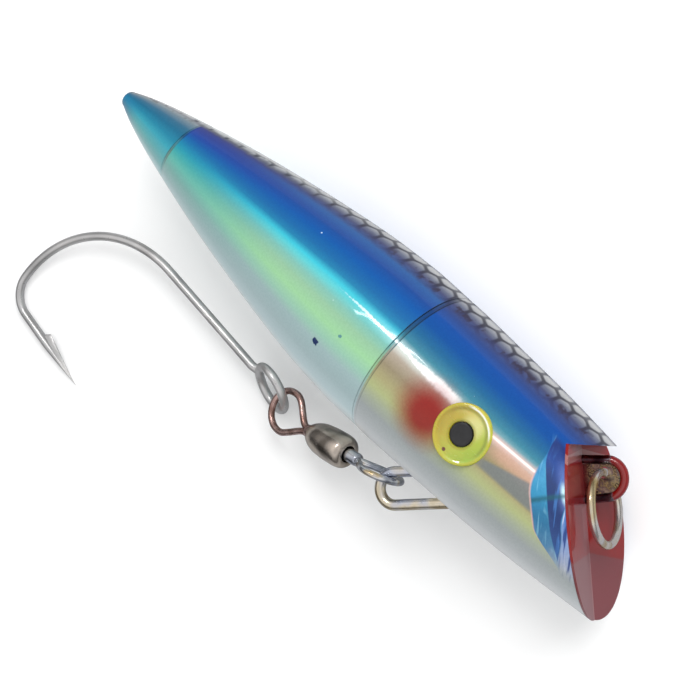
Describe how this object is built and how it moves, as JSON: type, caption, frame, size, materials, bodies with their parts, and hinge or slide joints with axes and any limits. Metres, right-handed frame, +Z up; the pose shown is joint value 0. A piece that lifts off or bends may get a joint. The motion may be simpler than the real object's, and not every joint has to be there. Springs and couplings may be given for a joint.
{
  "type": "topwater popper",
  "caption": "Slant-faced topwater popper lure with scooped mouth, wire nose ring, belly hanger, crane swivel and single hook.",
  "frame": {"origin": "on the bench under the widest part of the body, at the middle of the flat the lure lies on", "axes": "+X from tail to nose, +Y from belly to back, +Z up from the left flank to the right flank"},
  "size_m": [0.1546, 0.0773, 0.0335],
  "materials": {
    "clear_shell": "clear, with a transparent blue coat over the back",
    "foil": "metallised rainbow film inside the shell",
    "mouth_lacquer": "wet red lacquer",
    "seam": "dark joint line",
    "inner_plastic": "plain moulded",
    "ballast": "dull cast",
    "brass": "drawn tube",
    "steel": "bright wire",
    "bronzed_wire": "bronzed bright wire",
    "nickel": "worn nickel plate",
    "copper_wire": "copper-toned patina",
    "hook_steel": "tinned forged wire",
    "eye": "clear yellow moulded dome",
    "pupil": "gloss black"
  },
  "bodies": {
    "lure_body": {"tail_cap": "clear_shell", "main_shell": "clear_shell", "head_shell": "clear_shell", "mouth_plate": "mouth_lacquer", "seam_ring_tail": "seam", "seam_ring_mid": "seam", "foil_tail": "foil", "foil_main": "foil", "foil_head": "foil", "tail_joint": "inner_plastic", "mid_joint": "inner_plastic", "tail_ballast": "ballast", "rattle_tube": "brass", "rattle_cap": "brass", "wire_anchor": "inner_plastic", "nose_loop": "steel", "belly_hanger": "steel", "eye_right": "eye", "eye_left": "eye", "pupil_right": "pupil", "pupil_left": "pupil"},
    "rattle_ball": {"rattle_ball": "steel"},
    "nose_ring": {"nose_ring": "bronzed_wire"},
    "swivel_lower": {"swivel_eye_lower": "steel"},
    "swivel_barrel": {"swivel_barrel": "nickel"},
    "swivel_upper": {"swivel_eye_upper": "copper_wire"},
    "hook": {"hook": "hook_steel"}
  },
  "joints": [
    {"name": "ring_swing", "type": "hinge", "parent": "lure_body", "child": "nose_ring", "pos_m": [0.0479, 0.0096, 0.01674], "axis": [0, 0, 1], "range_deg": [-8, 115]},
    {"name": "swivel_swing", "type": "hinge", "parent": "lure_body", "child": "swivel_lower", "pos_m": [0.0167, -0.02145, 0.01674], "axis": [0, 0, 1], "range_deg": [-8, 70]},
    {"name": "barrel_spin", "type": "hinge", "parent": "swivel_lower", "child": "swivel_barrel", "pos_m": [-0.00201, -0.0259, 0.01116], "axis": [-0.9207, -0.2727, -0.279], "continuous": true},
    {"name": "upper_eye_spin", "type": "hinge", "parent": "swivel_lower", "child": "swivel_upper", "pos_m": [-0.00754, -0.02753, 0.00948], "axis": [-0.9207, -0.2727, -0.279], "range_deg": [-100, 100]},
    {"name": "hook_swing", "type": "hinge", "parent": "swivel_upper", "child": "hook", "pos_m": [-0.01614, -0.02893, 0.00697], "axis": [-0.2675, -0.0792, 0.9603], "range_deg": [-12, 60]},
    {"name": "rattle_slide", "type": "slide", "parent": "lure_body", "child": "rattle_ball", "axis": [1, 0, 0], "range_m": [0, 0.0169]}
  ]
}
